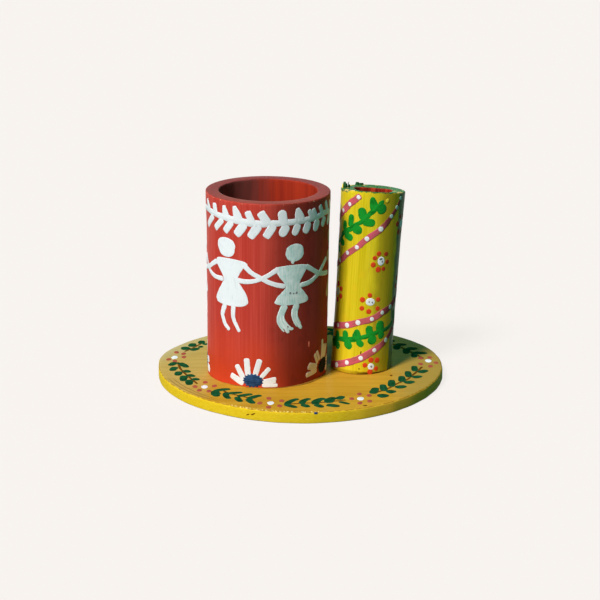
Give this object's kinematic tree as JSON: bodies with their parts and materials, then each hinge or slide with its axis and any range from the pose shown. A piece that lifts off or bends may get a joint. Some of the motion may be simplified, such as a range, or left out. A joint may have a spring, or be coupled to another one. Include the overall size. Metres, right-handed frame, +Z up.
{
  "type": "pen holder cup",
  "caption": "Desk pen stand: a wide and a slim painted bamboo cup standing side by side on a round wooden disc, decorated with folk-art figures, flowers and leaf sprays.",
  "frame": {"origin": "centre of the disc's underside, on the surface that the stand rests on", "axes": "+Z up; -Y is the front, with the wide cup on the left (-X) and the slim cup on the right (+X)"},
  "size_m": [0.1502, 0.15, 0.1035],
  "materials": {
    "disc_paint": "wooden board, ochre-yellow enamel brushed on and varnished glossy",
    "red_paint": "bamboo, vermilion red enamel brushed on and varnished glossy",
    "yellow_paint": "bamboo, lemon-yellow enamel brushed on and varnished glossy",
    "wood_glue": "dried wood glue, amber",
    "pin_steel": "bright steel panel pins",
    "white_motif": "white enamel brush strokes",
    "navy_motif": "navy enamel dabs",
    "green_motif": "green enamel brush strokes",
    "pink_motif": "dull pink enamel brush strokes",
    "orange_motif": "orange-red enamel dots"
  },
  "bodies": {
    "root": {"base_disc": "disc_paint", "large_cup": "red_paint", "small_cup": "yellow_paint", "large_cup_glue": "wood_glue", "small_cup_glue": "wood_glue", "large_cup_pins": "pin_steel", "small_cup_pins": "pin_steel"}
  },
  "joints": []
}
